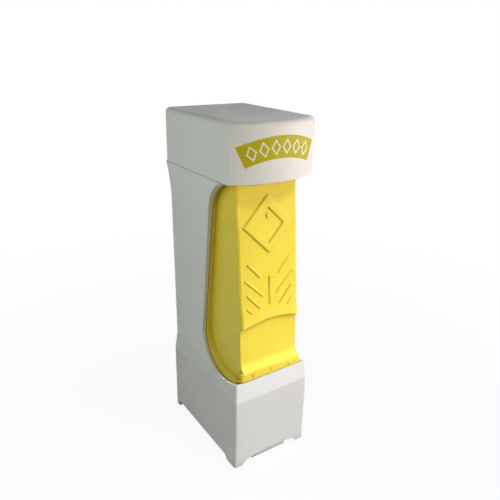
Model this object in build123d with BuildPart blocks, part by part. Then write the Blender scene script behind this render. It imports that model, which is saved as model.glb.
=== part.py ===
from build123d import *
import math
import os

os.makedirs("parts", exist_ok=True)

# Butter dispenser: a stick of butter stands in a chute at the back of a white tower.
# Squeezing the yellow lever at the front swings it about an axle under the cap, and its
# legs push a blade slide under the stick, which cuts a pat that drops out of the base.
# X is the width, minus Y the lever's side, Z up from the table. Millimetres and degrees.

# The stick of butter and the room round it
stick_width = 32.0
stick_room = 0.6
chute_wall = 1.3
chute_gap = 0.3
chute_flange_lap = 2.5
mouth_edge = 0.4
pat_thickness = 5.0

# Tower: heights from the table, and insets from its foremost, rearmost and base planes
total_height = 203.0
cap_height = 30.6
neck_drop = 25.4
bevel_foot = 45.9
bevel_rise = 11.6
lever_room = 36.6
base_wall = 2.0
rim_front_inset = 1.5
waist_side_inset = 1.2
waist_rear_inset = 1.3
neck_side_swell = 0.55
neck_rear_inset = 1.0
head_flare = 1.6
corner_radius = 1.3

# Lever opening in the tower's side walls
opening_foot_inset = 41.2
opening_lean = 0.118
opening_radius = 22.0
opening_dip = 3.1
rim_ramp = 3.0
rim_ramp_share = 0.3
wall_tip_inset = 16.4

# Cap that closes the tower
cap_wall = 1.8
cap_bulge = 7.5
cap_top_rounding = 2.8
cap_corner_radius = 3.5
seam_gap = 0.15
slide_fit = 0.3
collar_height = 17.9
collar_front_inset = 12.5
collar_radius = 2.2

# Feet and the notches between them
notch_low = 2.7
notch_high = 4.0
notch_rounding = 1.5
front_foot_length = 8.5
rear_foot_length = 4.5
foot_slope = 2.6
foot_width = 5.4

# Lever: its face line runs between two insets, and its heights are rises from the rim
pivot_rise = 11.6
pivot_room = 1.25
face_head_inset = 13.15
face_rim_inset = 1.1
lever_top_rise = 19.1
lever_foot_skin = 1.1
lever_head_skin = 1.9
lever_wall = 1.6
lever_edge_rounding = 1.5
lever_side_gap = 0.4
lever_web_inset = 32.8
web_over_ear = 0.8
lip_gap = 0.6
tuck_gap = 0.5
brow_rise = 35.4
brow_sag = 2.9
brow_swell = 0.9
swell_length = 15.0
scoop_top_inset = 6.0
scoop_top_rise = 31.5
scoop_lean = 0.05
scoop_rounding = 2.4
ramp_rise = 9.6
ramp_rounding = 5.0
lip_rise = 5.4
lip_skin = 2.2
lip_foot_skin = 3.6
lip_foot_height = 1.3
lip_foot_inset = 0.2
lip_proud = 0.15
ear_radius = 5.2
ear_thickness = 2.5
leg_thickness = 1.5
leg_top_width = 9.0
leg_end_radius = 3.0

# Flange round the lever: its front dips from the lever's side to the wall
flange_foot_inset = 40.0
flange_lean = 0.11
flange_radius = 20.0
flange_dip = 0.5
flange_thickness = 1.2

# Raised work on the lever's face, with its heights as shares of the panel over the brow
diamond_share = 0.686
diamond_side = 23.4
diamond_height = 0.8
pocket_side = 14.6
pocket_drop = 0.7
nub_radius = 1.2
nub_rise = 4.3
lip_nub_spacing = 12.7
nub_height = 0.5
rib_width = 1.3
rib_height = 0.6
edge_slope = 35
# Ends of the left-hand ribs, as x and share of the panel; the right-hand ones mirror them
left_ribs = [
    ((-13.9, 0.425), (-6.3, 0.325)),
    ((-15.7, 0.313), (-5.0, 0.182)),
    ((-14.9, 0.205), (-7.0, 0.098)),
    ((-15.0, 0.103), (-12.3, 0.072)),
]
spine_top_share = 0.309
spine_foot_share = 0.108

# Axle, drive pins and return spring
axle_diameter = 4.0
axle_end_room = 0.1
axle_chamfer = 0.4
running_gap = 0.05
pin_diameter = 3.0
pin_chamfer = 0.3
pin_z = 17.0
pin_inset = 7.0
pin_float = 0.2
spring_wire = 1.2
spring_sides = 6
spring_turns = 3
spring_pitch = 1.7
spring_gap = 0.3
spring_touch = 0.1
rear_leg_drop = 16.0
front_leg_drop = 7.0

# Frame in the base that guides the slide
frame_bottom = 3.4
frame_plate = 1.8
frame_gap = 0.2
guide_wall = 1.0
guide_height = 4.0
guide_room = 0.4
tab_width = 24.4
tab_bottom = 0.4
tab_inset = 1.6
nib_reach = 1.5
nib_width = 7.0
nib_drop = 0.3

# Slide and blade
blade_thickness = 0.6
blade_gap = 0.3
blade_depth = 9.0
blade_reach = 2.0
blade_bevel = 1.4
blade_edge = 0.1
blade_side_room = 0.3
blade_overrun = 0.8
shelf_thickness = 1.4
rail_width = 2.2
cheek_length = 7.0
cheek_cover = 2.8
edge_clear = 0.6
rivet_diameter = 2.4
rivet_head = 4.0
rivet_y_offset = 6.0
rivet_spacing = 22.0

# Screws that hold the frame
screw_diameter = 2.2
screw_head = 3.8
screw_head_height = 1.4
screw_length = 7.0
screw_spacing = 18.0
screw_boss = 4.8
screw_room = 0.2
recess_width = 0.6
recess_length = 2.2
recess_depth = 0.6

# Overlap that joins two forms of one piece, and the room in picking edges by their place
join_overlap = 0.2
place_room = 0.1

# Widths, outwards from the stick
chute_inner = stick_width / 2 + stick_room
chute_outer = chute_inner + chute_wall
lever_inner = chute_outer + lever_side_gap
leg_outer = lever_inner + leg_thickness
rail_inner = leg_outer + slide_fit
rail_outer = rail_inner + rail_width
base_inner = rail_outer + guide_room + guide_wall + frame_gap
half_base = base_inner + base_wall
half_waist = half_base - waist_side_inset
half_neck = half_waist + neck_side_swell
half_head = half_base + head_flare
tower_inner = half_waist - base_wall
lever_foot_half = lever_inner + lever_foot_skin
lever_head_half = lever_inner + lever_head_skin

# Depths: the lever's side hangs on the front plane, the chute on the rear one
tower_depth = lever_room + 2 * chute_outer + chute_gap + base_wall + waist_rear_inset
half_depth = tower_depth / 2
rim_front_y = -half_depth + rim_front_inset
rim_inner_y = rim_front_y + base_wall
rear_inner_y = half_depth - waist_rear_inset - base_wall
chute_back_y = rear_inner_y - chute_gap - chute_wall
chute_front_y = chute_back_y - 2 * chute_inner
chute_face_y = chute_front_y - chute_wall
opening_foot_y = -half_depth + opening_foot_inset
flange_foot_y = -half_depth + flange_foot_inset
wall_tip_y = -half_depth + wall_tip_inset
collar_front_y = -half_depth + collar_front_inset
pin_y = -half_depth + pin_inset

# Heights
rim_height = bevel_foot + bevel_rise
crease_height = total_height - cap_height
neck_height = crease_height - neck_drop
shoulder_z = crease_height - seam_gap
collar_top_z = shoulder_z + collar_height
pivot_z = crease_height + pivot_rise
lever_top_z = crease_height + lever_top_rise
lever_low_z = rim_height + lip_gap
lip_top_z = rim_height + lip_rise
ramp_top_z = rim_height + ramp_rise
scoop_top_z = rim_height + scoop_top_rise
brow_height = rim_height + brow_rise
brow_low_z = brow_height - brow_sag - 0.5
frame_top = frame_bottom + frame_plate
pocket_top = frame_top + pat_thickness
blade_bottom = pocket_top + blade_gap
shelf_bottom = blade_bottom + blade_thickness
shelf_top = shelf_bottom + shelf_thickness
chute_bottom = shelf_top + slide_fit

# The cap slides over the collar
collar_outer = half_head - cap_wall - slide_fit
collar_rear_y = half_depth - cap_wall - slide_fit

# The lever's face line, and the axle behind it with room for the spring
face_lean = (face_head_inset - face_rim_inset) / (pivot_z - rim_height)
coil_radius = axle_diameter / 2 + spring_gap + spring_wire / 2
pivot_y = -half_depth + face_head_inset + lever_wall + coil_radius + spring_wire / 2 + pivot_room

# The blade crosses the chute, and the lever swings until it has
blade_edge_y = chute_front_y - edge_clear
slide_travel = edge_clear + 2 * chute_inner + blade_overrun
lever_reach = math.hypot(pin_y - pivot_y, pin_z - pivot_z)
rest_angle = math.asin((pivot_y - pin_y) / lever_reach)
squeezed_angle = math.asin((pin_y + slide_travel - pivot_y) / lever_reach)
lever_travel = math.degrees(rest_angle + squeezed_angle)
pin_lowest_z = pivot_z - lever_reach
pin_highest_z = pivot_z - lever_reach * math.cos(squeezed_angle)


def face_y(z):
    """Y of the lever's front face at height z: it leans forward towards its foot."""
    return -half_depth + face_head_inset - face_lean * (pivot_z - z)


def side_outline(foot_y, lean, dip, radius, grow=0):
    """Sketch of the lever's opening from the side, grown by a thickness: its floor dips
    behind the front rim, and its leaning rear edge has two large corners."""
    sill = rim_height - grow
    floor = sill - dip
    roof = crease_height + grow
    bend = radius + grow
    rear_y = foot_y + grow
    bend_start_y = rear_y - bend * math.tan(math.pi / 4 + math.atan(lean) / 2) - 0.5
    ramp_end = (rim_front_y + rim_ramp, sill - rim_ramp_share * dip)
    with BuildSketch() as outline:
        with BuildLine():
            TangentArc((bend_start_y, floor), ramp_end, tangent=(-1, 0))
            Polyline(
                ramp_end,
                (rim_front_y, sill),
                (-tower_depth, sill),
                (-tower_depth, roof),
                (rear_y - lean * (roof - floor), roof),
                (rear_y, floor),
                (bend_start_y, floor),
            )
        make_face()
        fillet(outline.vertices().sort_by(Axis.X)[-1], radius=bend)
        fillet(outline.vertices().group_by(Axis.Y)[-1].sort_by(Axis.X)[-1], radius=bend)
    return outline.sketch


def cheeks(inner, outer):
    """The plane and the run of each of two upright plates between inner and outer."""
    return [(Plane.YZ.offset(side * inner), side * (outer - inner)) for side in (-1, 1)]


opening_form = (opening_foot_y, opening_lean, opening_dip, opening_radius)
flange_form = (flange_foot_y, flange_lean, flange_dip, flange_radius)

# Levels of the tower's outside: height, half width, front and rear
flare_steps = 5
waist_rear_y = half_depth - waist_rear_inset
neck_rear_y = half_depth - neck_rear_inset
foot_level = (0, half_base, -half_depth, half_depth)
bevel_level = (bevel_foot, half_base, -half_depth, half_depth)
rim_level = (rim_height, half_waist, rim_front_y, waist_rear_y)
neck_level = (neck_height, half_neck, rim_front_y, neck_rear_y)


def flare_level(share):
    """A level of the flare, which leaves the neck upright and curves out to the cap."""
    climb = shoulder_z - neck_height
    side_lean = (half_neck - half_waist) / (neck_height - rim_height) * climb
    rear_lean = (neck_rear_y - waist_rear_y) / (neck_height - rim_height) * climb
    side = side_lean * share + (half_head - half_neck - side_lean) * share**2
    rear = rear_lean * share + (half_depth - neck_rear_y - rear_lean) * share**2
    return (neck_height + climb * share, half_neck + side, rim_front_y, neck_rear_y + rear)


def level_sketch(height, half_width, front, rear):
    """A rounded rectangle of the tower's outside at one level."""
    with BuildSketch(Plane.XY.offset(height)) as level:
        with Locations((0, (front + rear) / 2)):
            RectangleRounded(2 * half_width, rear - front, corner_radius)
    return level.sketch


# Housing: rounded rectangles lofted from level to level, then hollowed and opened
with BuildPart() as tower_void:
    with BuildSketch(Plane.XZ):
        with BuildLine():
            Polyline(
                (base_inner, -1),
                (base_inner, bevel_foot),
                (tower_inner, rim_height),
                (tower_inner, total_height),
                (-tower_inner, total_height),
                (-tower_inner, rim_height),
                (-base_inner, bevel_foot),
                (-base_inner, -1),
                close=True,
            )
        make_face()
    extrude(amount=half_depth + 5, both=True)
    with BuildSketch(Plane.YZ):
        with BuildLine():
            Polyline(
                (half_depth - base_wall, -1),
                (half_depth - base_wall, bevel_foot),
                (rear_inner_y, rim_height),
                (rear_inner_y, total_height),
                (rim_inner_y, total_height),
                (rim_inner_y, rim_height),
                (-half_depth + base_wall, bevel_foot),
                (-half_depth + base_wall, -1),
                close=True,
            )
        make_face()
    extrude(amount=half_head + 5, both=True, mode=Mode.INTERSECT)

with BuildPart() as housing:
    levels = [foot_level, bevel_level, rim_level, neck_level]
    for lower, upper in zip(levels, levels[1:]):
        loft(sections=[level_sketch(*lower), level_sketch(*upper)], ruled=True)
    flare = [flare_level(index / (flare_steps - 1)) for index in range(flare_steps)]
    loft(sections=[level_sketch(*level) for level in flare])
    with BuildSketch(Plane.YZ):
        add(side_outline(*opening_form))
    extrude(amount=half_head + 5, both=True, mode=Mode.SUBTRACT)
    with BuildSketch(Plane.YZ):
        with Locations((wall_tip_y, neck_height)):
            Rectangle(half_depth, crease_height, align=(Align.MAX, Align.MIN))
    extrude(amount=half_head + 5, both=True, mode=Mode.SUBTRACT)
    add(tower_void.part, mode=Mode.SUBTRACT)
    # Collar inside the cap, open to the front for the lever
    with BuildSketch(Plane.XY.offset(shoulder_z)) as collar:
        with Locations((0, collar_front_y)):
            Rectangle(
                2 * collar_outer,
                collar_rear_y - collar_front_y,
                align=(Align.CENTER, Align.MIN),
            )
        fillet(collar.vertices().group_by(Axis.Y)[-1], radius=collar_radius)
        with Locations((0, collar_front_y)):
            Rectangle(
                2 * tower_inner,
                rear_inner_y - collar_front_y,
                align=(Align.CENTER, Align.MIN),
                mode=Mode.SUBTRACT,
            )
    extrude(amount=collar_height)
    # Bosses that carry the axle
    for plane, run in cheeks(lever_head_half + slide_fit, collar_outer):
        with BuildSketch(plane):
            with Locations((pivot_y, pivot_z)):
                Circle(ear_radius)
        extrude(amount=run)
    with BuildSketch(Plane.YZ):
        with Locations((pivot_y, pivot_z)):
            Circle(axle_diameter / 2)
    extrude(amount=half_head, both=True, mode=Mode.SUBTRACT)
    # Feet: the skirt is cut away between them on all four sides
    with BuildSketch(Plane.YZ) as side_notch:
        with BuildLine():
            Polyline(
                (-half_depth + front_foot_length, -1),
                (-half_depth + front_foot_length, 0),
                (-half_depth + front_foot_length + foot_slope, notch_low),
                (half_depth - rear_foot_length - 1, notch_high),
                (half_depth - rear_foot_length, -1),
                close=True,
            )
        make_face()
        fillet(side_notch.vertices().filter_by_position(Axis.Y, 1, notch_high), notch_rounding)
    extrude(amount=half_head, both=True, mode=Mode.SUBTRACT)
    with BuildSketch(Plane.XZ) as front_notch:
        with BuildLine():
            Polyline(
                (-half_base + foot_width, -1),
                (-half_base + foot_width, 0),
                (-half_base + foot_width + foot_slope, notch_low),
                (-tab_width / 2, notch_high),
                (tab_width / 2, notch_high),
                (half_base - foot_width - foot_slope, notch_low),
                (half_base - foot_width, 0),
                (half_base - foot_width, -1),
                close=True,
            )
        make_face()
        fillet(front_notch.vertices().filter_by_position(Axis.Y, 1, notch_high), notch_rounding)
    extrude(amount=half_depth + 5, both=True, mode=Mode.SUBTRACT)
    # Screw bosses on the front wall
    boss_y = -half_depth + base_wall + screw_boss / 2
    with BuildSketch(Plane.XY.offset(frame_top)):
        with Locations((-screw_spacing / 2, boss_y), (screw_spacing / 2, boss_y)):
            Circle(screw_boss / 2)
            Rectangle(screw_boss, screw_boss / 2 + join_overlap, align=(Align.CENTER, Align.MAX))
    extrude(amount=screw_length)
    with BuildSketch(Plane.XY.offset(frame_top)):
        with Locations((-screw_spacing / 2, boss_y), (screw_spacing / 2, boss_y)):
            Circle(screw_diameter / 2)
    extrude(amount=screw_length - 1, mode=Mode.SUBTRACT)
housing.part.label = "housing"
export_step(housing.part, "parts/housing.step")



def cap_plan(inset):
    """Sketch of the cap's outline at its foot, this far in from its outer face."""
    half = half_head - inset
    corner_y = -half_depth + cap_bulge + inset
    with BuildSketch(Plane.XY.offset(crease_height)) as plan:
        with BuildLine():
            ThreePointArc((-half, corner_y), (0, -half_depth + inset), (half, corner_y))
            Polyline(
                (half, corner_y),
                (half, half_depth - inset),
                (-half, half_depth - inset),
                (-half, corner_y),
            )
        make_face()
        fillet(plan.vertices(), radius=cap_corner_radius - inset)
    return plan.sketch


# Cap: a shell with a bowed front
with BuildPart() as top_cap:
    extrude(cap_plan(0), amount=cap_height)
    fillet(top_cap.faces().sort_by(Axis.Z)[-1].edges(), radius=cap_top_rounding)
    extrude(cap_plan(cap_wall), amount=cap_height - cap_wall, mode=Mode.SUBTRACT)
top_cap.part.label = "top_cap"
export_step(top_cap.part, "parts/top_cap.step")

# Chute: a square tube that hangs from a flange on the collar
with BuildPart() as butter_chute:
    chute_mid_y = (chute_front_y + chute_back_y) / 2
    with BuildSketch(Plane.XY.offset(chute_bottom)):
        with Locations((0, chute_mid_y)):
            Rectangle(2 * chute_outer, 2 * chute_outer)
    extrude(amount=collar_top_z - chute_bottom)
    with BuildSketch(Plane.XY.offset(collar_top_z)) as chute_flange:
        with Locations((0, collar_rear_y)):
            Rectangle(
                2 * collar_outer,
                collar_rear_y - chute_face_y + chute_flange_lap,
                align=(Align.CENTER, Align.MAX),
            )
        fillet(chute_flange.vertices(), radius=collar_radius)
    extrude(amount=chute_wall)
    with BuildSketch(Plane.XY.offset(chute_bottom)):
        with Locations((0, chute_mid_y)):
            Rectangle(2 * chute_inner, 2 * chute_inner)
    extrude(amount=total_height, mode=Mode.SUBTRACT)
    mouth = butter_chute.faces().sort_by(Axis.Z)[-1].inner_wires()[0].edges()
    chamfer(mouth, length=chute_wall - mouth_edge)
butter_chute.part.label = "butter_chute"
export_step(butter_chute.part, "parts/butter_chute.step")

# Frame in the base: a floor with the drop window, a pocket round it and slide guides
with BuildPart() as bottom_frame:
    frame_half_x = base_inner - frame_gap
    frame_half_y = half_depth - base_wall - frame_gap
    with BuildSketch(Plane.XY.offset(frame_bottom)):
        Rectangle(2 * frame_half_x, 2 * frame_half_y)
    extrude(amount=frame_plate)
    with BuildSketch(Plane.XY.offset(frame_top)):
        with Locations((0, chute_mid_y)):
            Rectangle(2 * chute_outer, 2 * chute_outer)
    extrude(amount=pat_thickness)
    with BuildSketch(Plane.XY.offset(frame_top)):
        for side in (-1, 1):
            with Locations((side * (frame_half_x - guide_wall / 2), 0)):
                Rectangle(guide_wall, 2 * frame_half_y)
    extrude(amount=guide_height)
    with BuildSketch(Plane.XY.offset(frame_bottom)):
        with Locations((0, chute_mid_y)):
            Rectangle(2 * chute_inner, 2 * chute_inner)
    extrude(amount=frame_plate + pat_thickness, mode=Mode.SUBTRACT)
    # Spring fingers with nibs that hold the stick up until it is cut
    with BuildSketch(Plane.XZ.offset(-chute_mid_y)):
        for side in (-1, 1):
            with BuildLine():
                Polyline(
                    (side * (chute_inner + join_overlap), frame_bottom),
                    (side * (chute_inner - nib_reach), frame_top - nib_drop),
                    (side * (chute_inner + join_overlap), frame_top - nib_drop),
                    close=True,
                )
            make_face()
    extrude(amount=nib_width / 2, both=True)
    # Tab between the front notches
    with BuildSketch(Plane.XY.offset(tab_bottom)):
        with Locations((0, -half_depth + tab_inset)):
            Rectangle(tab_width, base_wall, align=(Align.CENTER, Align.MIN))
    extrude(amount=notch_high - slide_fit - tab_bottom)
    with BuildSketch(Plane.XY.offset(tab_bottom)):
        with Locations((-screw_spacing / 2, boss_y), (screw_spacing / 2, boss_y)):
            Circle(screw_head / 2 + screw_room)
    extrude(amount=frame_bottom - tab_bottom, mode=Mode.SUBTRACT)
    with BuildSketch(Plane.XY.offset(frame_bottom)):
        with Locations((-screw_spacing / 2, boss_y), (screw_spacing / 2, boss_y)):
            Circle((screw_diameter + screw_room) / 2)
    extrude(amount=frame_plate, mode=Mode.SUBTRACT)
bottom_frame.part.label = "bottom_frame"
export_step(bottom_frame.part, "parts/bottom_frame.step")

# Screws through the frame into the front bosses
with BuildPart() as frame_screws:
    with BuildSketch(Plane.XY.offset(frame_bottom - screw_head_height)):
        with Locations((-screw_spacing / 2, boss_y), (screw_spacing / 2, boss_y)):
            Circle(screw_head / 2)
    extrude(amount=screw_head_height)
    with BuildSketch(Plane.XY.offset(frame_bottom)):
        with Locations((-screw_spacing / 2, boss_y), (screw_spacing / 2, boss_y)):
            Circle(screw_diameter / 2)
    extrude(amount=screw_length)
    chamfer(frame_screws.faces().group_by(Axis.Z)[-1].edges(), length=0.5)
    with BuildSketch(Plane.XY.offset(frame_bottom - screw_head_height)):
        with Locations((-screw_spacing / 2, boss_y), (screw_spacing / 2, boss_y)):
            Rectangle(recess_length, recess_width)
            Rectangle(recess_width, recess_length)
    extrude(amount=recess_depth, mode=Mode.SUBTRACT)
frame_screws.part.label = "frame_screws"
export_step(frame_screws.part, "parts/frame_screws.step")

# Axle across the collar
with BuildPart() as pivot_axle:
    with BuildSketch(Plane.YZ):
        with Locations((pivot_y, pivot_z)):
            Circle(axle_diameter / 2)
    extrude(amount=collar_outer - axle_end_room, both=True)
    chamfer(pivot_axle.faces().filter_by(Axis.X).edges(), length=axle_chamfer)
pivot_axle.part.label = "pivot_axle"
export_step(pivot_axle.part, "parts/pivot_axle.step")

# Return spring: a coil round the axle with a leg on the chute and one on the lever
rear_leg_end = (chute_face_y - spring_wire / 2 - spring_touch, pivot_z - rear_leg_drop)
front_leg_end = (
    face_y(pivot_z - front_leg_drop) + lever_wall + spring_wire / 2 + spring_touch,
    pivot_z - front_leg_drop,
)


def leg_angles(end):
    """Direction of a leg's end from the axle, and the arc that its length takes off it."""
    reach = math.hypot(end[0] - pivot_y, end[1] - pivot_z)
    leg = math.sqrt(reach**2 - coil_radius**2)
    return math.atan2(end[1] - pivot_z, end[0] - pivot_y), math.atan2(leg, coil_radius), leg


rear_direction, rear_arc, rear_leg = leg_angles(rear_leg_end)
front_direction, front_arc, front_leg = leg_angles(front_leg_end)
coil_start = rear_direction + rear_arc
coil_sweep = (front_direction - front_arc - coil_start) % (2 * math.pi)
coil_sweep += 2 * math.pi * spring_turns
lead = spring_pitch / (2 * math.pi)
coil_half_length = lead * coil_sweep / 2


def coil_point(turned):
    """Point on the coil's centre line after it has turned by this many radians."""
    angle = coil_start + turned
    return (
        lead * turned - coil_half_length,
        pivot_y + coil_radius * math.cos(angle),
        pivot_z + coil_radius * math.sin(angle),
    )


with BuildPart() as return_spring:
    quarter_count = math.ceil(coil_sweep / (math.pi / 2))
    step = coil_sweep / quarter_count
    with BuildLine() as spring_line:
        drift = lead / coil_radius
        Line(
            (coil_point(0)[0] - drift * rear_leg, *rear_leg_end),
            coil_point(0),
        )
        for index in range(quarter_count):
            ThreePointArc(
                coil_point(index * step), coil_point((index + 0.5) * step), coil_point((index + 1) * step)
            )
        Line(
            coil_point(coil_sweep),
            (coil_point(coil_sweep)[0] + drift * front_leg, *front_leg_end),
        )
    with BuildSketch(Plane(origin=spring_line.line @ 0, z_dir=spring_line.line % 0)):
        RegularPolygon(radius=spring_wire / 2, side_count=spring_sides)
    sweep()
print("return spring: gap between turns", round(spring_pitch - spring_wire, 2), "mm")
return_spring.part.label = "return_spring"
export_step(return_spring.part, "parts/return_spring.step")

# Lever: the hollow under its skin
scoop_top_y = -half_depth + scoop_top_inset
scoop_foot_y = scoop_top_y - scoop_lean * (scoop_top_z - ramp_top_z)
tuck_y = rim_inner_y + tuck_gap
hollow_foot_z = rim_height - flange_dip - flange_thickness - 1
with BuildPart() as lever_hollow:
    with BuildSketch(Plane.YZ):
        with BuildLine():
            Polyline(
                (face_y(lever_top_z) + lever_wall, lever_top_z + 1),
                (face_y(brow_height + 5) + lever_wall, brow_height + 5),
                (scoop_top_y + lever_wall, scoop_top_z),
                (scoop_foot_y + lever_wall, ramp_top_z),
                (tuck_y + lever_wall, lip_top_z),
                (tuck_y + lever_wall, hollow_foot_z),
                (half_depth, hollow_foot_z),
                (half_depth, lever_top_z + 1),
                close=True,
            )
        make_face()
    extrude(amount=lever_inner, both=True)

# Lever: the scoop under its brow, with a cove where the two meet
brow_radius = (lever_foot_half**2 + brow_sag**2) / (2 * brow_sag)
arch_end_z = brow_height - brow_radius + math.sqrt(brow_radius**2 - half_waist**2)
with BuildPart() as lever_scoop:
    with BuildSketch(Plane.YZ) as scoop_side:
        with BuildLine():
            Polyline(
                (-half_depth - 5, brow_height + 5),
                (scoop_top_y + scoop_lean * (brow_height + 5 - scoop_top_z), brow_height + 5),
                (scoop_foot_y, ramp_top_z),
                (face_y(lip_top_z), lip_top_z),
                (-half_depth - 5, lip_top_z),
                close=True,
            )
        make_face()
        ramp_corner = scoop_side.vertices().filter_by_position(
            Axis.Y, ramp_top_z - 1, ramp_top_z + 1
        )
        fillet(ramp_corner, radius=ramp_rounding)
    extrude(amount=half_waist, both=True)
    with BuildSketch(Plane.XZ):
        with BuildLine():
            ThreePointArc(
                (-half_waist, arch_end_z), (0, brow_height), (half_waist, arch_end_z)
            )
            Polyline(
                (half_waist, arch_end_z),
                (half_waist, rim_height),
                (-half_waist, rim_height),
                (-half_waist, arch_end_z),
            )
        make_face()
    extrude(amount=half_depth + 5, both=True, mode=Mode.INTERSECT)
    cove = lever_scoop.edges().filter_by(GeomType.LINE, reverse=True).sort_by(Axis.Y)[-1]
    fillet(cove, radius=scoop_rounding)

# Lever: the flange, a shell between two outlines of the opening, one on each side
with BuildPart() as lever_flange:
    for side in (-1, 1):
        root = Plane.YZ.offset(side * (lever_inner + lever_foot_skin / 2))
        rim = Plane.YZ.offset(side * (tower_inner - slide_fit))
        for grow, mode in ((flange_thickness, Mode.ADD), (0, Mode.SUBTRACT)):
            loft(
                sections=[
                    root * side_outline(*flange_form, grow),
                    rim * side_outline(*opening_form, grow),
                ],
                ruled=True,
                mode=mode,
            )
    with BuildSketch(Plane.YZ):
        with Locations((tuck_y, 0)):
            Rectangle(tower_depth, neck_height, align=(Align.MAX, Align.MIN))
        with Locations((face_y(crease_height) + lever_wall, neck_height)):
            Rectangle(tower_depth, neck_height, align=(Align.MAX, Align.MIN))
    extrude(amount=half_head, both=True, mode=Mode.SUBTRACT)

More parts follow.
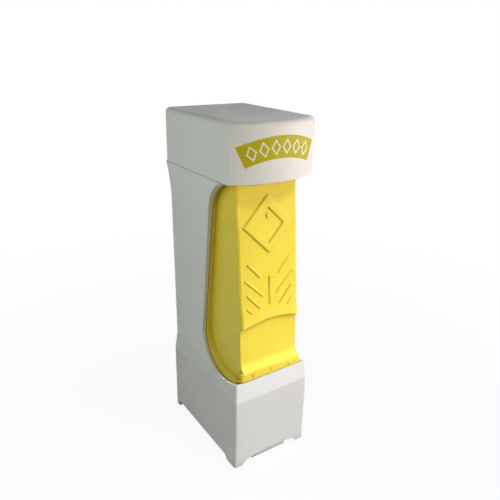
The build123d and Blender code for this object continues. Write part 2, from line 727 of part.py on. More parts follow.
with BuildPart() as lever:
    swell_top_z = brow_low_z + swell_length
    with BuildSketch(Plane.YZ):
        add(side_outline(*flange_form, flange_thickness))
        with BuildLine():
            Polyline(
                (-tower_depth - 1, 0),
                (face_y(0), 0),
                (face_y(lip_top_z), lip_top_z),
                (face_y(brow_low_z) - brow_swell, brow_low_z),
            )
            TangentArc(
                (face_y(swell_top_z), swell_top_z),
                (face_y(brow_low_z) - brow_swell, brow_low_z),
                tangent=(-face_lean, -1),
            )
            Polyline(
                (face_y(swell_top_z), swell_top_z),
                (face_y(lever_top_z), lever_top_z),
                (-tower_depth - 1, lever_top_z),
                (-tower_depth - 1, 0),
            )
        make_face(mode=Mode.SUBTRACT)
        with Locations((tuck_y, lever_low_z)):
            Rectangle(half_depth, rim_height, align=(Align.MAX, Align.MAX), mode=Mode.SUBTRACT)
        with BuildLine():
            Polyline(
                (face_y(neck_height), neck_height),
                (-half_depth + lever_web_inset, neck_height),
                (pivot_y + ear_radius + web_over_ear, pivot_z),
                (pivot_y + ear_radius + web_over_ear, lever_top_z),
                (face_y(lever_top_z), lever_top_z),
                close=True,
            )
        make_face()
    extrude(amount=half_waist, both=True)
    with BuildSketch(Plane.XZ):
        with BuildLine():
            Polyline(
                (-lever_foot_half, pin_z),
                (lever_foot_half, pin_z),
                (lever_foot_half, rim_height),
                (lever_head_half, lever_top_z + 1),
                (-lever_head_half, lever_top_z + 1),
                (-lever_foot_half, rim_height),
                close=True,
            )
        make_face()
    extrude(amount=half_depth + 5, both=True, mode=Mode.INTERSECT)
    front_edges = [
        edge
        for edge in lever.edges().filter_by(Axis.X, reverse=True)
        if edge.center().Y < face_y(edge.center().Z) + place_room and edge.center().Z > brow_low_z
    ]
    fillet(front_edges, radius=lever_edge_rounding)
    add(lever_scoop.part, mode=Mode.SUBTRACT)
    # Lip: a bar with rounded ends over the front rim, on a wider foot
    lip_bars = (
        (lip_skin, face_y(lever_low_z) - lip_proud, lip_top_z - lever_low_z),
        (lip_foot_skin, face_y(lever_low_z) + lip_foot_inset, lip_foot_height),
    )
    for skin, bar_y, height in lip_bars:
        with BuildSketch(Plane.XY.offset(lever_low_z)) as lip_plan:
            with Locations((0, bar_y)):
                Rectangle(
                    2 * (lever_inner + skin),
                    tuck_y + lever_wall - bar_y,
                    align=(Align.CENTER, Align.MIN),
                )
            fillet(lip_plan.vertices().group_by(Axis.Y)[0], radius=skin - lever_foot_skin)
        extrude(amount=height)
    # Raised diamond with its sunk centre, the nub above it and the ribs below it
    panel = crease_height - brow_height
    diamond_z = brow_height + diamond_share * panel
    slant_length = math.hypot(1, face_lean)
    face_plane = Plane(
        origin=(0, face_y(diamond_z), diamond_z), x_dir=(1, 0, 0), z_dir=(0, -1, face_lean)
    )
    with BuildSketch(face_plane):
        Rectangle(diamond_side, diamond_side, rotation=45)
    extrude(amount=diamond_height, taper=edge_slope)
    with BuildSketch(face_plane.offset(diamond_height)):
        with Locations((0, -pocket_drop)):
            Rectangle(pocket_side, pocket_side, rotation=45)
    extrude(amount=-diamond_height, taper=edge_slope, mode=Mode.SUBTRACT)
    with BuildSketch(face_plane):
        for (x_start, share_start), (x_end, share_end) in left_ribs:
            y_start = (brow_height + share_start * panel - diamond_z) * slant_length
            y_end = (brow_height + share_end * panel - diamond_z) * slant_length
            run = math.hypot(x_end - x_start, y_end - y_start)
            slant = math.degrees(math.atan2(y_end - y_start, x_end - x_start))
            middle_x = (x_start + x_end) / 2
            middle_y = (y_start + y_end) / 2
            with Locations((middle_x, middle_y)):
                Rectangle(run + rib_width, rib_width, rotation=slant)
            with Locations((-middle_x, middle_y)):
                Rectangle(run + rib_width, rib_width, rotation=-slant)
        spine_run = (spine_top_share - spine_foot_share) * panel * slant_length
        spine_middle = (spine_top_share + spine_foot_share) / 2 - diamond_share
        with Locations((0, spine_middle * panel * slant_length)):
            Rectangle(rib_width, spine_run + rib_width)
    extrude(amount=rib_height, taper=edge_slope)
    lip_nub_y = ((lip_top_z + lever_low_z) / 2 - diamond_z) * slant_length
    with BuildSketch(face_plane):
        with Locations((0, nub_rise)):
            Circle(nub_radius)
        for step in (-1, 0, 1):
            with Locations((step * lip_nub_spacing, lip_nub_y)):
                Circle(nub_radius)
    extrude(amount=nub_height)
    add(lever_hollow.part, mode=Mode.SUBTRACT)
    add(lever_flange.part)
    # Legs down to the slide and ears for the axle, on both sides
    leg_root_z = rim_height - flange_dip - flange_thickness / 2
    for plane, run in cheeks(lever_inner, leg_outer):
        with BuildSketch(plane):
            with BuildLine():
                Polyline(
                    (tuck_y, leg_root_z),
                    (tuck_y + leg_top_width, leg_root_z),
                    (pin_y + leg_end_radius, pin_z),
                    (pin_y - leg_end_radius, pin_z),
                    close=True,
                )
            make_face()
            with Locations((pin_y, pin_z)):
                Circle(leg_end_radius)
        extrude(amount=run)
    for plane, run in cheeks(lever_inner - ear_thickness, lever_inner + join_overlap):
        with BuildSketch(plane):
            with Locations((pivot_y, pivot_z)):
                Circle(ear_radius)
        extrude(amount=run)
    with BuildSketch(Plane.YZ):
        with Locations((pivot_y, pivot_z)):
            Circle(axle_diameter / 2 + running_gap)
        with Locations((pin_y, pin_z)):
            Circle(pin_diameter / 2)
    extrude(amount=half_waist, both=True, mode=Mode.SUBTRACT)
lever.part.label = "lever"
export_step(lever.part, "parts/lever.step")

# Drive pins: one in each leg, reaching into the slide's cheek
for name, (plane, run) in zip(("left", "right"), cheeks(lever_inner, rail_outer)):
    with BuildPart() as drive_pin:
        with BuildSketch(plane):
            with Locations((pin_y, pin_z)):
                Circle(pin_diameter / 2)
        extrude(amount=run)
        chamfer(drive_pin.faces().filter_by(Axis.X).edges(), length=pin_chamfer)
    drive_pin.part.label = "drive_pin_" + name
    export_step(drive_pin.part, "parts/drive_pin_" + name + ".step")

# Slide: a shelf on two rails, with a slotted cheek at each side for the drive pins
shelf_front_y = boss_y + screw_boss / 2 + slide_fit
slot_low = pin_lowest_z - pin_diameter / 2 - pin_float
slot_high = pin_highest_z + pin_diameter / 2 + pin_float
shelf_rear_y = blade_edge_y - blade_reach
rivet_y = blade_edge_y - rivet_y_offset
rivet_places = [(-rivet_spacing / 2, rivet_y), (rivet_spacing / 2, rivet_y)]
with BuildPart() as cutter_slide:
    with BuildSketch(Plane.XY.offset(shelf_bottom)):
        with Locations((0, shelf_front_y)):
            Rectangle(
                2 * rail_outer, shelf_rear_y - shelf_front_y, align=(Align.CENTER, Align.MIN)
            )
    extrude(amount=shelf_thickness)
    rail_bottom = frame_top + slide_fit
    for plane, run in cheeks(rail_inner, rail_outer):
        with BuildSketch(plane):
            with Locations((shelf_front_y, rail_bottom)):
                Rectangle(
                    shelf_rear_y - shelf_front_y,
                    shelf_top - rail_bottom,
                    align=(Align.MIN, Align.MIN),
                )
            with Locations((pin_y, rail_bottom)):
                Rectangle(
                    cheek_length,
                    slot_high + cheek_cover - rail_bottom,
                    align=(Align.CENTER, Align.MIN),
                )
        extrude(amount=run)
    with BuildSketch(Plane.YZ):
        with Locations((pin_y, (slot_low + slot_high) / 2)):
            SlotOverall(slot_high - slot_low, pin_diameter + 2 * pin_float, rotation=90)
    extrude(amount=half_waist, both=True, mode=Mode.SUBTRACT)
    with BuildSketch(Plane.XY.offset(shelf_top)):
        with Locations(*rivet_places):
            Circle(rivet_head / 2)
    extrude(amount=rivet_diameter / 2 - rivet_head / 2, taper=45, mode=Mode.SUBTRACT)
    with BuildSketch(Plane.XY.offset(shelf_bottom)):
        with Locations(*rivet_places):
            Circle(rivet_diameter / 2)
    extrude(amount=shelf_thickness, mode=Mode.SUBTRACT)
cutter_slide.part.label = "cutter_slide"
export_step(cutter_slide.part, "parts/cutter_slide.step")

# Blade under the shelf's rear edge, ground to an edge on top
with BuildPart() as cutter_blade:
    with BuildSketch(Plane.XY.offset(blade_bottom)):
        with Locations((0, blade_edge_y)):
            Rectangle(
                2 * (chute_inner - blade_side_room),
                blade_depth,
                align=(Align.CENTER, Align.MAX),
            )
        with Locations(*rivet_places):
            Circle(rivet_diameter / 2, mode=Mode.SUBTRACT)
    extrude(amount=blade_thickness)
    edge_line = cutter_blade.edges().filter_by(Axis.X).group_by(Axis.Y)[-1].sort_by(Axis.Z)[-1]
    chamfer(edge_line, length=blade_thickness - blade_edge, length2=blade_bevel)
cutter_blade.part.label = "cutter_blade"
export_step(cutter_blade.part, "parts/cutter_blade.step")

# Flush rivets through the blade and the shelf
with BuildPart() as blade_rivets:
    with BuildSketch(Plane.XY.offset(blade_bottom)):
        with Locations(*rivet_places):
            Circle(rivet_diameter / 2)
    extrude(amount=shelf_top - blade_bottom)
    with BuildSketch(Plane.XY.offset(shelf_top)):
        with Locations(*rivet_places):
            Circle(rivet_head / 2)
    extrude(amount=rivet_diameter / 2 - rivet_head / 2, taper=45)
blade_rivets.part.label = "blade_rivets"
export_step(blade_rivets.part, "parts/blade_rivets.step")

print("lever travel", round(lever_travel, 2), "degrees")
print("slide travel per radian", round(slide_travel / math.radians(lever_travel), 2), "mm")
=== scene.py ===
# %% [markdown]
# # A butter dispenser
# A white plastic tower holds a stick of butter upright. Squeezing the yellow lever at the
# front pushes a blade under the stick, and a pat drops out of the base. The solids come
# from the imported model, so this lesson gives them their finishes, adds the printed band
# on the cap and the grip nubs on the lever, and lights and frames the scene.

# %% Load the solids
import math
import bpy
import numpy as np
from mathutils import Matrix, Vector


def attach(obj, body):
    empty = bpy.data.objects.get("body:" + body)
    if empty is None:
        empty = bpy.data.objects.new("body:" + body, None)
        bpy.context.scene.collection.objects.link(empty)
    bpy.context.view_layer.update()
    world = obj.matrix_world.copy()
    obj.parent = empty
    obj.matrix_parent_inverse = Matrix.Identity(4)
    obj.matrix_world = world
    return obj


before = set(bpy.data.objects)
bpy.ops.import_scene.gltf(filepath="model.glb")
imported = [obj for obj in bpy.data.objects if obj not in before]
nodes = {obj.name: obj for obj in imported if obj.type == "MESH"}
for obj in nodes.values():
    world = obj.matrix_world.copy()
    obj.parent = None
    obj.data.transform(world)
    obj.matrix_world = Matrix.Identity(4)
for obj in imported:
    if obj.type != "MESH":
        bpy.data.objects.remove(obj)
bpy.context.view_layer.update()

scene = bpy.context.scene
MM = 0.001
print("solids:", ", ".join(sorted(nodes)))

# %% [markdown]
# ## Building a finish
# A finish is a small tree of shader nodes round one Principled shader. Helpers keep the
# trees short: one makes an empty finish, one adds a noise pattern in Object coordinates,
# which stay with the piece when it moves, and one stretches a pattern between two values.

# %% An empty finish and its patterns
def new_finish(name):
    """An empty finish: its material, its node tree and its Principled shader."""
    material = bpy.data.materials.new(name)
    material.use_nodes = True
    tree = material.node_tree
    return material, tree, tree.nodes["Principled BSDF"]


def noise(tree, per_metre, detail=3.0, stretch=(1, 1, 1)):
    """A noise pattern's value, with about so many blobs to the metre, stretched by axis."""
    place = tree.nodes.new("ShaderNodeTexCoord")
    squeeze = tree.nodes.new("ShaderNodeMapping")
    squeeze.inputs["Scale"].default_value = stretch
    pattern = tree.nodes.new("ShaderNodeTexNoise")
    pattern.inputs["Scale"].default_value = per_metre
    pattern.inputs["Detail"].default_value = detail
    tree.links.new(place.outputs["Object"], squeeze.inputs["Vector"])
    tree.links.new(squeeze.outputs["Vector"], pattern.inputs["Vector"])
    return pattern.outputs["Fac"]


def spread(tree, value, source, target):
    """The value, moved and stretched in proportion from the source range to the target
    range, and held at the target's ends."""
    stretch = tree.nodes.new("ShaderNodeMapRange")
    stretch.inputs["From Min"].default_value = source[0]
    stretch.inputs["From Max"].default_value = source[1]
    stretch.inputs["To Min"].default_value = target[0]
    stretch.inputs["To Max"].default_value = target[1]
    tree.links.new(value, stretch.inputs["Value"])
    return stretch.outputs["Result"]


NOISE_MIDDLE = (0.3, 0.7)


def between(tree, value, low, high):
    """The middle range of a noise pattern, where nearly all of it lies, from low to high."""
    return spread(tree, value, NOISE_MIDDLE, (low, high))


print("helpers:", ", ".join(helper.__name__ for helper in (new_finish, noise, spread, between)))

# %% [markdown]
# A pattern reaches the shader in two ways. It can move the colour between two close tones,
# or it can stand for height, which the Bump node turns into tilted normals. The real
# plastic has soft edges where the solids are sharp, so the same helper can also round the
# shading of edges. That costs no faces, which suits rims that are only a millimetre wide.

# %% Tone and relief
BEVEL_SAMPLES = 6


def tone(tree, value, first, second):
    """A colour that goes from first to second as the value goes from 0 to 1."""
    mix = tree.nodes.new("ShaderNodeMix")
    mix.data_type = "RGBA"
    mix.inputs["A"].default_value = (*first, 1)
    mix.inputs["B"].default_value = (*second, 1)
    tree.links.new(value, mix.inputs["Factor"])
    return mix.outputs["Result"]


def relief(tree, shader, value, height, strength, rounding=0.0):
    """Bump of so many metres from a pattern, on the shader's normal. Where rounding isn't
    0, sharp edges are shaded as if they were rounded with that radius."""
    bump = tree.nodes.new("ShaderNodeBump")
    bump.inputs["Distance"].default_value = height
    bump.inputs["Strength"].default_value = strength
    tree.links.new(value, bump.inputs["Height"])
    if rounding:
        rounded = tree.nodes.new("ShaderNodeBevel")
        rounded.samples = BEVEL_SAMPLES
        rounded.inputs["Radius"].default_value = rounding
        tree.links.new(rounded.outputs["Normal"], bump.inputs["Normal"])
    tree.links.new(bump.outputs["Normal"], shader.inputs["Normal"])


print("helpers:", tone.__name__, relief.__name__)

# %% [markdown]
# ## Moulded plastic
# The tower and the lever are injection-moulded. Their steel moulds were spark-textured very
# finely, so highlights spread a little, and the gloss differs in clouds of a few
# centimetres. The colour also carries painted shade: it is darkened in grooves and corners,
# which the Ambient Occlusion node finds from the shape itself, and the base under the
# tower's bevel is painted a shade darker than the tower, for the light that falls from above.

# %% Painted shade in grooves and under the bevel
PAINTED_SHADE_REACH = 0.009
PAINTED_SHADE_SAMPLES = 8
PAINTED_SHADE_RANGE = (0.35, 0.88)
BEVEL_FOOT = 0.0459
STEP_HALF_WIDTH = 0.0004


def painted_groove_shade(tree, colour, groove_shade):
    """The colour on open faces, and a painted shade colour in grooves and corners within the
    shade's reach.
    """
    # Painted shade: the Ambient Occlusion node darkens the colour in grooves and corners.
    nearby = tree.nodes.new("ShaderNodeAmbientOcclusion")
    nearby.samples = PAINTED_SHADE_SAMPLES
    nearby.inputs["Distance"].default_value = PAINTED_SHADE_REACH
    open_share = spread(tree, nearby.outputs["AO"], PAINTED_SHADE_RANGE, (0, 1))
    mix = tree.nodes.new("ShaderNodeMix")
    mix.data_type = "RGBA"
    mix.inputs["A"].default_value = (*groove_shade, 1)
    tree.links.new(open_share, mix.inputs["Factor"])
    tree.links.new(colour, mix.inputs["B"])
    return mix.outputs["Result"]


def painted_shade_below(tree, colour, height, share):
    """The colour above so many metres of height, and share of it below, as painted shade."""
    place = tree.nodes.new("ShaderNodeTexCoord")
    split = tree.nodes.new("ShaderNodeSeparateXYZ")
    tree.links.new(place.outputs["Object"], split.inputs[0])
    # Painted shade: below the bevel's foot the colour is scaled down to the share.
    edge = (height - STEP_HALF_WIDTH, height + STEP_HALF_WIDTH)
    painted_shade_share = spread(tree, split.outputs["Z"], edge, (share, 1))
    scale = tree.nodes.new("ShaderNodeVectorMath")
    scale.operation = "SCALE"
    tree.links.new(colour, scale.inputs[0])
    tree.links.new(painted_shade_share, scale.inputs["Scale"])
    return scale.outputs["Vector"]


print("grooves within", PAINTED_SHADE_REACH / MM, "mm, greyer below", round(BEVEL_FOOT / MM, 1), "mm")

# %% [markdown]
# One function makes both plastics, because both come out of the same kind of mould. Only
# the tones, the grain, the mirror and the softness of the edges differ.

# %% White and yellow plastic
TONE_CLOUDS = 28
GLOSS_CLOUDS = 60
GLOSS_SPREAD = (-0.04, 0.06)
GRAINS = 1800
GRAIN_HEIGHT = 0.00004
PLASTIC_GLOSS = 0.36
PLASTIC_IOR = 1.5


def moulded_plastic(name, light, shade, groove_shade, grain, mirror, rounding, low=1.0):
    """Plastic whose tone drifts over centimetres, with fine mould grain as relief. It is
    darkened in grooves as painted shade, and low is the share of its colour kept under the
    tower's bevel, also painted shade."""
    material, tree, shader = new_finish(name)
    drift = between(tree, noise(tree, TONE_CLOUDS, detail=2), 0, 1)
    # Painted shade: the colour is darkened in grooves and corners.
    colour = painted_groove_shade(tree, tone(tree, drift, light, shade), groove_shade)
    # Painted shade: under the tower's bevel the colour keeps only the share low.
    if low < 1:
        colour = painted_shade_below(tree, colour, BEVEL_FOOT, low)
    tree.links.new(colour, shader.inputs["Base Color"])
    smooth, dull = (PLASTIC_GLOSS + shift for shift in GLOSS_SPREAD)
    cloud = between(tree, noise(tree, GLOSS_CLOUDS, detail=4), smooth, dull)
    tree.links.new(cloud, shader.inputs["Roughness"])
    relief(tree, shader, noise(tree, GRAINS, detail=2), GRAIN_HEIGHT, grain, rounding)
    shader.inputs["IOR"].default_value = PLASTIC_IOR
    shader.inputs["Specular IOR Level"].default_value = mirror
    return material


white_plastic = moulded_plastic(
    "white_plastic",
    light=(0.80, 0.79, 0.76),
    shade=(0.77, 0.765, 0.735),
    # The colour of the painted shade in the white plastic's grooves.
    groove_shade=(0.60, 0.59, 0.55),
    grain=0.25,
    mirror=0.22,
    rounding=0.001,
    # Painted shade under the bevel keeps this share of the white colour.
    low=0.87,
)
yellow_plastic = moulded_plastic(
    "yellow_plastic",
    light=(0.93, 0.735, 0.074),
    shade=(0.91, 0.71, 0.066),
    # The colour of the painted shade in the yellow plastic's grooves.
    groove_shade=(0.40, 0.25, 0.010),
    grain=0.2,
    mirror=0.2,
    rounding=0.0011,
)
print("plastics:", white_plastic.name, yellow_plastic.name)

# %% [markdown]
# ## Steel
# The blade is ground sheet, so its scratches run the way it cuts. The wire, pins, axle
# and screws are drawn or turned rod, with finer marks. Both are the same metal, and the
# direction of the marks is what tells them apart, so one function takes it as a stretch
# of the noise pattern.

# %% Ground sheet and drawn rod
STEEL_DARK = (0.62, 0.62, 0.61)
STEEL_LIGHT = (0.72, 0.72, 0.71)
STEEL_GLOSS_SPREAD = 0.12
STEEL_MARK_HEIGHT = 0.00002
STEEL_MARK_STRENGTH = 0.3


def worked_steel(name, shine, marks, per_metre):
    """Stainless steel whose fine marks are a noise pattern stretched one way."""
    material, tree, shader = new_finish(name)
    shader.inputs["Metallic"].default_value = 1
    lines = noise(tree, per_metre, detail=4, stretch=marks)
    colour = tone(tree, between(tree, lines, 0, 1), STEEL_DARK, STEEL_LIGHT)
    tree.links.new(colour, shader.inputs["Base Color"])
    gloss = between(tree, lines, shine, shine + STEEL_GLOSS_SPREAD)
    tree.links.new(gloss, shader.inputs["Roughness"])
    relief(tree, shader, lines, STEEL_MARK_HEIGHT, STEEL_MARK_STRENGTH)
    return material


blade_steel = worked_steel("blade_steel", shine=0.2, marks=(1, 0.03, 1), per_metre=2500)
rod_steel = worked_steel("rod_steel", shine=0.24, marks=(0.05, 1, 1), per_metre=3500)
print("steels:", blade_steel.name, rod_steel.name)

# %% [markdown]
# Every solid takes one of the four finishes. The solids keep their own mesh, and only the
# material in it changes.

# %% Dress the solids
finishes = {
    white_plastic: ["housing", "top_cap", "butter_chute", "bottom_frame"],
    yellow_plastic: ["lever", "cutter_slide"],
    blade_steel: ["cutter_blade"],
    rod_steel: [
        "blade_rivets",
        "drive_pin_left",
        "drive_pin_right",
        "frame_screws",
        "pivot_axle",
        "return_spring",
    ],
}
for finish, names in finishes.items():
    for name in names:
        nodes[name].data.materials.clear()
        nodes[name].data.materials.append(finish)
    print(finish.name, "on", len(names), "solids")

# %% [markdown]
# ## The printed band
# A mustard band arches across the cap's bowed front. It is ink, so it is made as a very
# thin closed film. Its shape is a sector of a ring, seen from the front, laid on the bow:
# every point of the sector is pushed back onto the cap's surface, which is part of a
# cylinder. All measures are in millimetres until the points go into a mesh.

# %% Lay shapes on the cap's bow
CAP_HALF_WIDTH = 27.5
CAP_BOW = 7.5
CAP_FRONT_Y = -38.0
BOW_RADIUS = (CAP_HALF_WIDTH**2 + CAP_BOW**2) / (2 * CAP_BOW)
BOW_CENTRE_Y = CAP_FRONT_Y + BOW_RADIUS


def on_cap(x, z, lift):
    """Points in metres, on the cap's front at x and z in millimetres, lifted off it.
    Seen from above, the front is an arc of BOW_RADIUS, so y is the arc's centre less the
    other leg of the triangle whose long side is the radius and whose first leg is x."""
    y = BOW_CENTRE_Y - np.sqrt((BOW_RADIUS + lift) ** 2 - x**2)
    return np.stack([x, y, z], axis=-1) * MM


def new_piece(name, points, faces, finish):
    """A piece in the scene from points in metres and faces of three or four points."""
    mesh = bpy.data.meshes.new(name)
    mesh.from_pydata(points.tolist(), [], faces)
    mesh.validate()
    mesh.materials.append(finish)
    piece = bpy.data.objects.new(name, mesh)
    scene.collection.objects.link(piece)
    return piece


print("bow radius:", round(BOW_RADIUS, 2), "mm")

# %% [markdown]
# The film needs a front, a back and a rim, or its mesh would be open. The front and the
# back are the same grid at two lifts, and the rim joins their borders.

# %% A closed film
def film(name, x, z, lift, thick, finish):
    """A closed thin film over a grid of x and z: a front grid and a back grid, joined
    round the grid's border by a strip of quads."""
    rows, columns = x.shape
    front = on_cap(x, z, lift + thick).reshape(-1, 3)
    back = on_cap(x, z, lift).reshape(-1, 3)
    behind = len(front)
    index = np.arange(rows * columns).reshape(rows, columns)
    cell = np.stack([index[:-1, :-1], index[:-1, 1:], index[1:, 1:], index[1:, :-1]], -1)
    cell = cell.reshape(-1, 4)
    border = np.concatenate([index[0, :], index[1:, -1], index[-1, -2::-1], index[-2::-1, 0]])
    start, end = border[:-1], border[1:]
    rim = np.stack([end, start, start + behind, end + behind], -1)
    faces = np.concatenate([cell, cell[:, ::-1] + behind, rim])
    piece = new_piece(name, np.concatenate([front, back]), faces.tolist(), finish)
    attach(piece, "cap")
    return piece


print("helper:", film.__name__)

# %% [markdown]
# The ink is matt and even in colour, with a faint mottle. It has hardly any mirror of its
# own, so its colour reads the same from all sides.

# %% Inks
INK_MOTTLE = 300
INK_GLOSS = (0.34, 0.42)
INK_GRAINS = 2500
INK_GRAIN_HEIGHT = 0.00002
INK_GRAIN_STRENGTH = 0.2
INK_MIRROR = 0.1


def print_ink(name, light, shade):
    """Printed ink whose tone and gloss share one fine mottle."""
    material, tree, shader = new_finish(name)
    patch = noise(tree, INK_MOTTLE, detail=3)
    colour = tone(tree, between(tree, patch, 0, 1), light, shade)
    tree.links.new(colour, shader.inputs["Base Color"])
    tree.links.new(between(tree, patch, *INK_GLOSS), shader.inputs["Roughness"])
    grain = noise(tree, INK_GRAINS, detail=2)
    relief(tree, shader, grain, INK_GRAIN_HEIGHT, INK_GRAIN_STRENGTH)
    shader.inputs["Specular IOR Level"].default_value = INK_MIRROR
    return material


mustard_ink = print_ink("mustard_ink", light=(0.52, 0.46, 0.010), shade=(0.50, 0.435, 0.008))
cream_ink = print_ink("cream_ink", light=(0.82, 0.80, 0.62), shade=(0.79, 0.77, 0.58))
print("inks:", mustard_ink.name, cream_ink.name)

# %% [markdown]
# The band is a grid of angles along the arch and distances from its centre. A point of the
# arch is found as on a clock face: the sine of the angle goes across, the cosine up.

# %% The band
ARCH_CENTRE_Z = 135.9
ARCH_INNER = 48.8
ARCH_OUTER = 60.1
ARCH_HALF_ANGLE = math.radians(23.5)
BAND_COLUMNS = 97
BAND_ROWS = 17
BAND_LIFT = 0.005
BAND_THICK = 0.02


def arch(turn, radius):
    """x and z on the arch, from an angle off upright and a distance from its centre."""
    return radius * np.sin(turn), ARCH_CENTRE_Z + radius * np.cos(turn)


turns, radii = np.meshgrid(
    np.linspace(-ARCH_HALF_ANGLE, ARCH_HALF_ANGLE, BAND_COLUMNS),
    np.linspace(ARCH_INNER, ARCH_OUTER, BAND_ROWS),
)
band = film("printed_band", *arch(turns, radii), BAND_LIFT, BAND_THICK, mustard_ink)
print("band:", len(band.data.polygons), "faces")

# %% [markdown]
# The band carries a plain row of diamonds in cream, drawn with a thin line. Each side of a
# diamond is a stroke: a narrow strip of the same film, between two points of the arch.

# %% Diamonds on the band
MARK_COUNT = 6
MARK_END_ANGLE = 17.5
MARK_RADIUS = (ARCH_INNER + ARCH_OUTER) / 2
MARK_HALF_HEIGHT = 3.4
MARK_HALF_ANGLE = 2.5
MARK_LINE = 0.8
MARK_LIFT = 0.03
MARK_THICK = 0.01
STROKE_POINTS = 7


def stroke(name, start, end, width):
    """A strip of film from start to end, given as (degrees along the arch, radius). It
    runs on past both ends by half its width, so that two strokes fill their corner."""
    first = np.array(arch(math.radians(start[0]), start[1]))
    last = np.array(arch(math.radians(end[0]), end[1]))
    along = (last - first) / np.linalg.norm(last - first)
    across = np.array([-along[1], along[0]]) * width / 2
    share, side = np.meshgrid(np.linspace(0, 1, STROKE_POINTS), [-1, 1])
    first, last = first - along * width / 2, last + along * width / 2
    x = first[0] + (last - first)[0] * share + across[0] * side
    z = first[1] + (last - first)[1] * share + across[1] * side
    return film(name, x, z, MARK_LIFT, MARK_THICK, cream_ink)


strokes = []
for place, middle in enumerate(np.linspace(-MARK_END_ANGLE, MARK_END_ANGLE, MARK_COUNT)):
    corners = [
        (middle, MARK_RADIUS - MARK_HALF_HEIGHT),
        (middle + MARK_HALF_ANGLE, MARK_RADIUS),
        (middle, MARK_RADIUS + MARK_HALF_HEIGHT),
        (middle - MARK_HALF_ANGLE, MARK_RADIUS),
    ]
    for side, (start, end) in enumerate(zip(corners, corners[1:] + corners[:1])):
        strokes.append(stroke(f"band_mark_{place}_{side}", start, end, MARK_LINE))
print("diamonds:", MARK_COUNT, "of", len(strokes) // MARK_COUNT, "strokes")

# %% [markdown]
# ## Grip nubs on the lip
# The lever's lip carries three low nubs for the finger. Each is a shallow dome: a point's
# height over the lip falls with the square of its distance from the middle, so the dome
# is a paraboloid. A short skirt carries it into the lip, and a flat back closes it.

# %% Domes
NUB_PLACES = (-12.7, 0.0, 12.7)
NUB_FOOT_Y = -36.95
NUB_Z = 60.6
NUB_RADIUS = 1.35
NUB_HEIGHT = 0.75
NUB_SKIRT = 0.3
NUB_RINGS = 8
NUB_SIDES = 40


def dome(name, x, y, z, radius, height):
    """A paraboloid that faces the front: a tip, rings round it, a skirt and a back."""
    share = np.linspace(0, 1, NUB_RINGS + 1)[1:, None]
    turn = np.linspace(0, 2 * np.pi, NUB_SIDES, endpoint=False)[None, :]
    across = x + radius * share * np.cos(turn)
    upward = z + radius * share * np.sin(turn)
    front = y - height * (1 - share**2) + 0 * turn
    rings = np.stack([across, front, upward], axis=-1).reshape(-1, 3)
    skirt = rings[-NUB_SIDES:] + (0, NUB_SKIRT, 0)
    tip_point, back_point = [[x, y - height, z]], [[x, y + NUB_SKIRT, z]]
    points = np.concatenate([tip_point, rings, skirt, back_point]) * MM
    ring = 1 + np.arange((NUB_RINGS + 1) * NUB_SIDES).reshape(-1, NUB_SIDES)
    following = np.roll(ring, -1, axis=1)
    wall = np.stack([ring[:-1], ring[1:], following[1:], following[:-1]], -1).reshape(-1, 4)
    tip = np.stack([0 * ring[0], ring[0], following[0]], -1)
    back = np.stack([0 * ring[-1] + len(points) - 1, following[-1], ring[-1]], -1)
    faces = wall.tolist() + tip.tolist() + back.tolist()
    piece = new_piece(name, points, faces, yellow_plastic)
    piece.data.shade_smooth()
    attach(piece, "lever")
    return piece


nubs = [
    dome(f"lip_nub_{place}", x, NUB_FOOT_Y, NUB_Z, NUB_RADIUS, NUB_HEIGHT)
    for place, x in enumerate(NUB_PLACES)
]
print("nubs:", len(nubs), "domes of", len(nubs[0].data.polygons), "faces")

# %% [markdown]
# ## Floor and backdrop
# The ground and the backdrop are white, as in a studio. They are white only to the camera
# and in reflections. To everything else the floor is an ordinary pale sheet, so it keeps
# the tower's shadow and sends little light back up.

# %% What looks at the ground
GROUND_RAYS = ("Is Camera Ray", "Is Glossy Ray", "Is Transmission Ray")


def ground_seen(tree):
    """1 where the camera, a reflection or a view through glass meets the ground, 0
    elsewhere: the three kinds of ray are added and held at 1."""
    path = tree.nodes.new("ShaderNodeLightPath")
    total = path.outputs[GROUND_RAYS[0]]
    for ray in GROUND_RAYS[1:]:
        add = tree.nodes.new("ShaderNodeMath")
        add.operation = "ADD"
        add.use_clamp = True
        tree.links.new(total, add.inputs[0])
        tree.links.new(path.outputs[ray], add.inputs[1])
        total = add.outputs[0]
    return total


def blended(tree, share, lit, seen, output_kind):
    """The tree's output: the lit shader, and share of the seen shader over it."""
    blend = tree.nodes.new("ShaderNodeMixShader")
    out = tree.nodes.new(output_kind)
    tree.links.new(share, blend.inputs["Fac"])
    tree.links.new(lit.outputs[0], blend.inputs[1])
    tree.links.new(seen.outputs[0], blend.inputs[2])
    tree.links.new(blend.outputs[0], out.inputs["Surface"])


print("ground rays:", len(GROUND_RAYS))

# %% [markdown]
# Close to the tower a little of the pale sheet shows through the white, which is what
# makes the shadow visible. The share of white grows with the distance from the middle.

# %% Floor
FLOOR_GREY = 0.6
FLOOR_REACH = 3.0
SHADOW_REACH = (0.05, 0.4)
WHITE_SHARE = (0.93, 1.0)

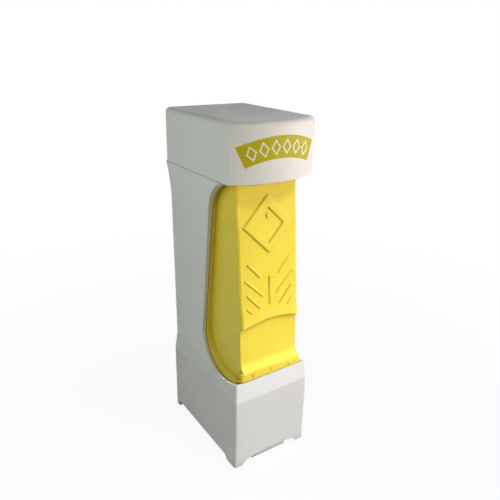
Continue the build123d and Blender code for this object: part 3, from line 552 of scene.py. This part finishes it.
floor_sheet = bpy.data.materials.new("floor_sheet")
floor_sheet.use_nodes = True
tree = floor_sheet.node_tree
tree.nodes.clear()
sheet = tree.nodes.new("ShaderNodeBsdfDiffuse")
sheet.inputs["Color"].default_value = (FLOOR_GREY, FLOOR_GREY, FLOOR_GREY, 1)
white = tree.nodes.new("ShaderNodeEmission")
white.inputs["Color"].default_value = (1, 1, 1, 1)
place = tree.nodes.new("ShaderNodeTexCoord")
distance = tree.nodes.new("ShaderNodeVectorMath")
distance.operation = "LENGTH"
tree.links.new(place.outputs["Object"], distance.inputs[0])
white_share = tree.nodes.new("ShaderNodeMath")
white_share.operation = "MULTIPLY"
tree.links.new(ground_seen(tree), white_share.inputs[0])
tree.links.new(
    spread(tree, distance.outputs["Value"], SHADOW_REACH, WHITE_SHARE), white_share.inputs[1]
)
blended(tree, white_share.outputs[0], sheet, white, "ShaderNodeOutputMaterial")

floor_corners = [(-1, -1, 0), (1, -1, 0), (1, 1, 0), (-1, 1, 0)]
floor_points = np.array(floor_corners) * FLOOR_REACH
floor = new_piece("floor", floor_points, [(0, 1, 2, 3)], floor_sheet)
print("floor:", 2 * FLOOR_REACH, "m wide")

# %% [markdown]
# The world works the same way: white to the camera and in reflections, and a dim even room
# to the rest, so that no side of the tower goes black.

# %% World
ROOM_COLOUR = (0.95, 1.0, 0.97, 1)
ROOM_STRENGTH = 0.03

world = bpy.data.worlds.new("studio")
scene.world = world
world.use_nodes = True
tree = world.node_tree
tree.nodes.clear()
room = tree.nodes.new("ShaderNodeBackground")
room.inputs["Color"].default_value = ROOM_COLOUR
room.inputs["Strength"].default_value = ROOM_STRENGTH
backdrop = tree.nodes.new("ShaderNodeBackground")
backdrop.inputs["Color"].default_value = (1, 1, 1, 1)
backdrop.inputs["Strength"].default_value = 1.0
blended(tree, ground_seen(tree), room, backdrop, "ShaderNodeOutputWorld")
print("world:", world.name)

# %% [markdown]
# ## The lamps
# The main lamp stands on the right, level with the cap, so the tower's front and the lever
# glow and the cap's top stays grey. A warm one fills the front from close by, and a small
# cool one stands close on the left, so the light falls off towards the base. A narrow one
# from above brightens the base's bevel, and the last lights the back, which the camera
# doesn't see, and stays out of the cap's reflections. A lamp is aimed by turning its own
# minus Z towards the tower.

# %% Lamps
def soft_lamp(name, place, aim, size, watts, colour, spread_angle=180):
    """A square area lamp at place, facing aim, whose light spreads over so many degrees."""
    lamp = bpy.data.lights.new(name, "AREA")
    lamp.size = size
    lamp.energy = watts
    lamp.color = colour
    lamp.spread = math.radians(spread_angle)
    stand = bpy.data.objects.new(name, lamp)
    stand.location = place
    stand.rotation_euler = (Vector(aim) - Vector(place)).to_track_quat("-Z", "Y").to_euler()
    scene.collection.objects.link(stand)
    return stand


right_lamp = soft_lamp(
    "right_lamp", (0.606, -0.35, 0.20), (0, 0, 0.13), size=0.28, watts=2.43,
    colour=(0.97, 0.975, 1.0),
)
front_lamp = soft_lamp(
    "front_lamp", (0.16, -0.277, 0.20), (0, 0, 0.13), size=0.128, watts=0.38,
    colour=(1.0, 0.76, 0.56),
)
left_lamp = soft_lamp(
    "left_lamp", (-0.27, -0.072, 0.22), (0, 0, 0.17), size=0.16, watts=0.32,
    colour=(0.91, 1.0, 0.94),
)
base_lamp = soft_lamp(
    "base_lamp", (0.10, -0.27, 0.45), (0, -0.04, 0.04), size=0.12, watts=0.052,
    colour=(0.80, 0.90, 1.0), spread_angle=26,
)
back_lamp = soft_lamp(
    "back_lamp", (0.12, 0.85, 0.16), (0, 0, 0.11), size=0.5, watts=3.0,
    colour=(1.0, 1.0, 1.0),
)
back_lamp.visible_glossy = False
lamps = (right_lamp, front_lamp, left_lamp, base_lamp, back_lamp)
print("lamps:", ", ".join(f"{stand.name} {stand.data.energy:.3f} W" for stand in lamps))

# %% [markdown]
# ## The camera
# The camera stands to the left and above, turned a degree about its own axis. Its place
# and aim are the ones that put the corners of a tower of this size where the photograph
# has them. Three unit vectors, to the right, up and back, are the columns of its turn.

# %% Camera
CAMERA_PLACE = (-162.9, -249.7, 239.9)
CAMERA_ANGLES = (-34.4, 21.45, 1.12)
SENSOR_WIDTH = 36
FOCAL_PIXELS = 538.6
PICTURE_PIXELS = 500

azimuth, elevation, roll = (math.radians(angle) for angle in CAMERA_ANGLES)
back = Vector(
    (
        math.sin(azimuth) * math.cos(elevation),
        -math.cos(azimuth) * math.cos(elevation),
        math.sin(elevation),
    )
)
level = Vector((math.cos(azimuth), math.sin(azimuth), 0))
upward = back.cross(level)
right = math.cos(roll) * level + math.sin(roll) * upward
up = math.cos(roll) * upward - math.sin(roll) * level
turn = Matrix((right, up, back)).transposed().to_4x4()

lens = bpy.data.cameras.new("camera")
lens.sensor_width = SENSOR_WIDTH
lens.lens = SENSOR_WIDTH * FOCAL_PIXELS / PICTURE_PIXELS
camera = bpy.data.objects.new("camera", lens)
camera.matrix_world = Matrix.Translation(Vector(CAMERA_PLACE) * MM) @ turn
scene.collection.objects.link(camera)
bpy.context.scene.camera = camera
scene.view_settings.view_transform = "Standard"
print("camera:", [round(value, 4) for value in camera.location])
